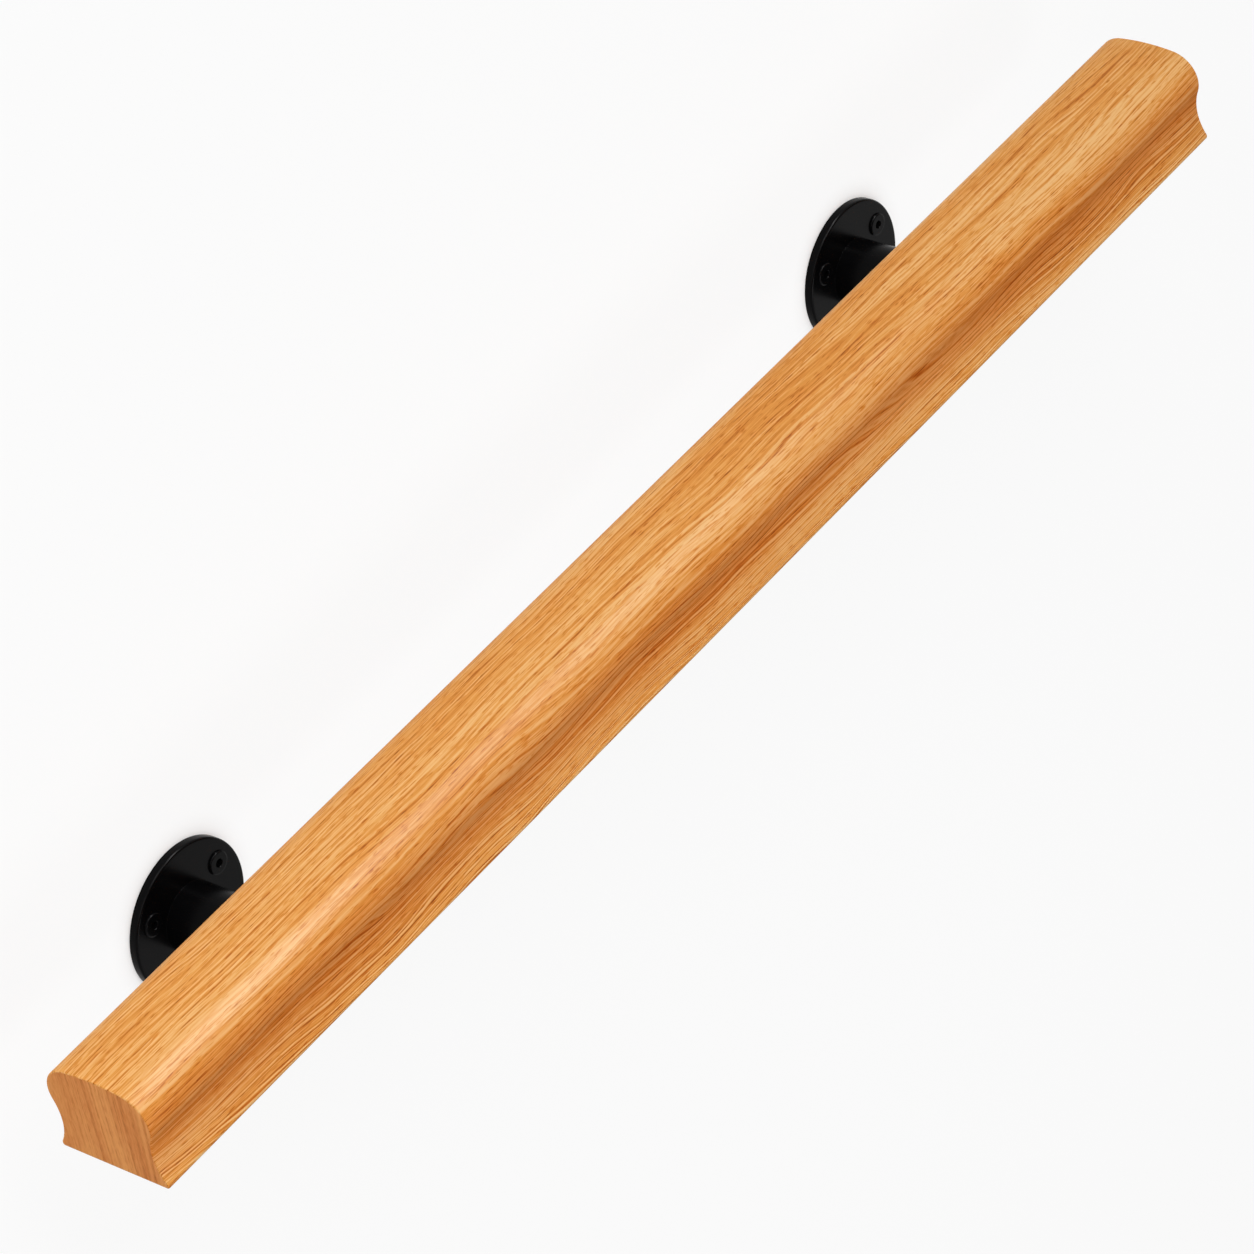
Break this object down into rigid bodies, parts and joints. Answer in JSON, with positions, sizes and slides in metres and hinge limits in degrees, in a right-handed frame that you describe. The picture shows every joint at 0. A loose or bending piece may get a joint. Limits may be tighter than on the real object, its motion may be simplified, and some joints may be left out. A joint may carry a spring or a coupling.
{
  "type": "stair handrail length",
  "caption": "Moulded oak stair handrail length with coved sides and a gently crowned top, carried by round black wall brackets whose thick round arms are screwed under the rail.",
  "frame": {"origin": "middle of the whole part's box in X and Y, on the wall plane that the two plates stand on", "axes": "+X along the rail towards its near end, +Y from the crown towards the flat base, +Z out from the wall plane"},
  "size_m": [0.9144, 0.1012, 0.1242],
  "materials": {
    "oak": "honey oak under satin lacquer",
    "black_coat": "satin black powder coat",
    "black_screw": "black phosphated steel"
  },
  "bodies": {
    "root": {"handrail": "oak", "bracket_near": "black_coat", "bracket_far": "black_coat", "rail_screw_near_inner": "black_screw", "rail_screw_near_outer": "black_screw", "rail_screw_far_inner": "black_screw", "rail_screw_far_outer": "black_screw"}
  },
  "joints": []
}
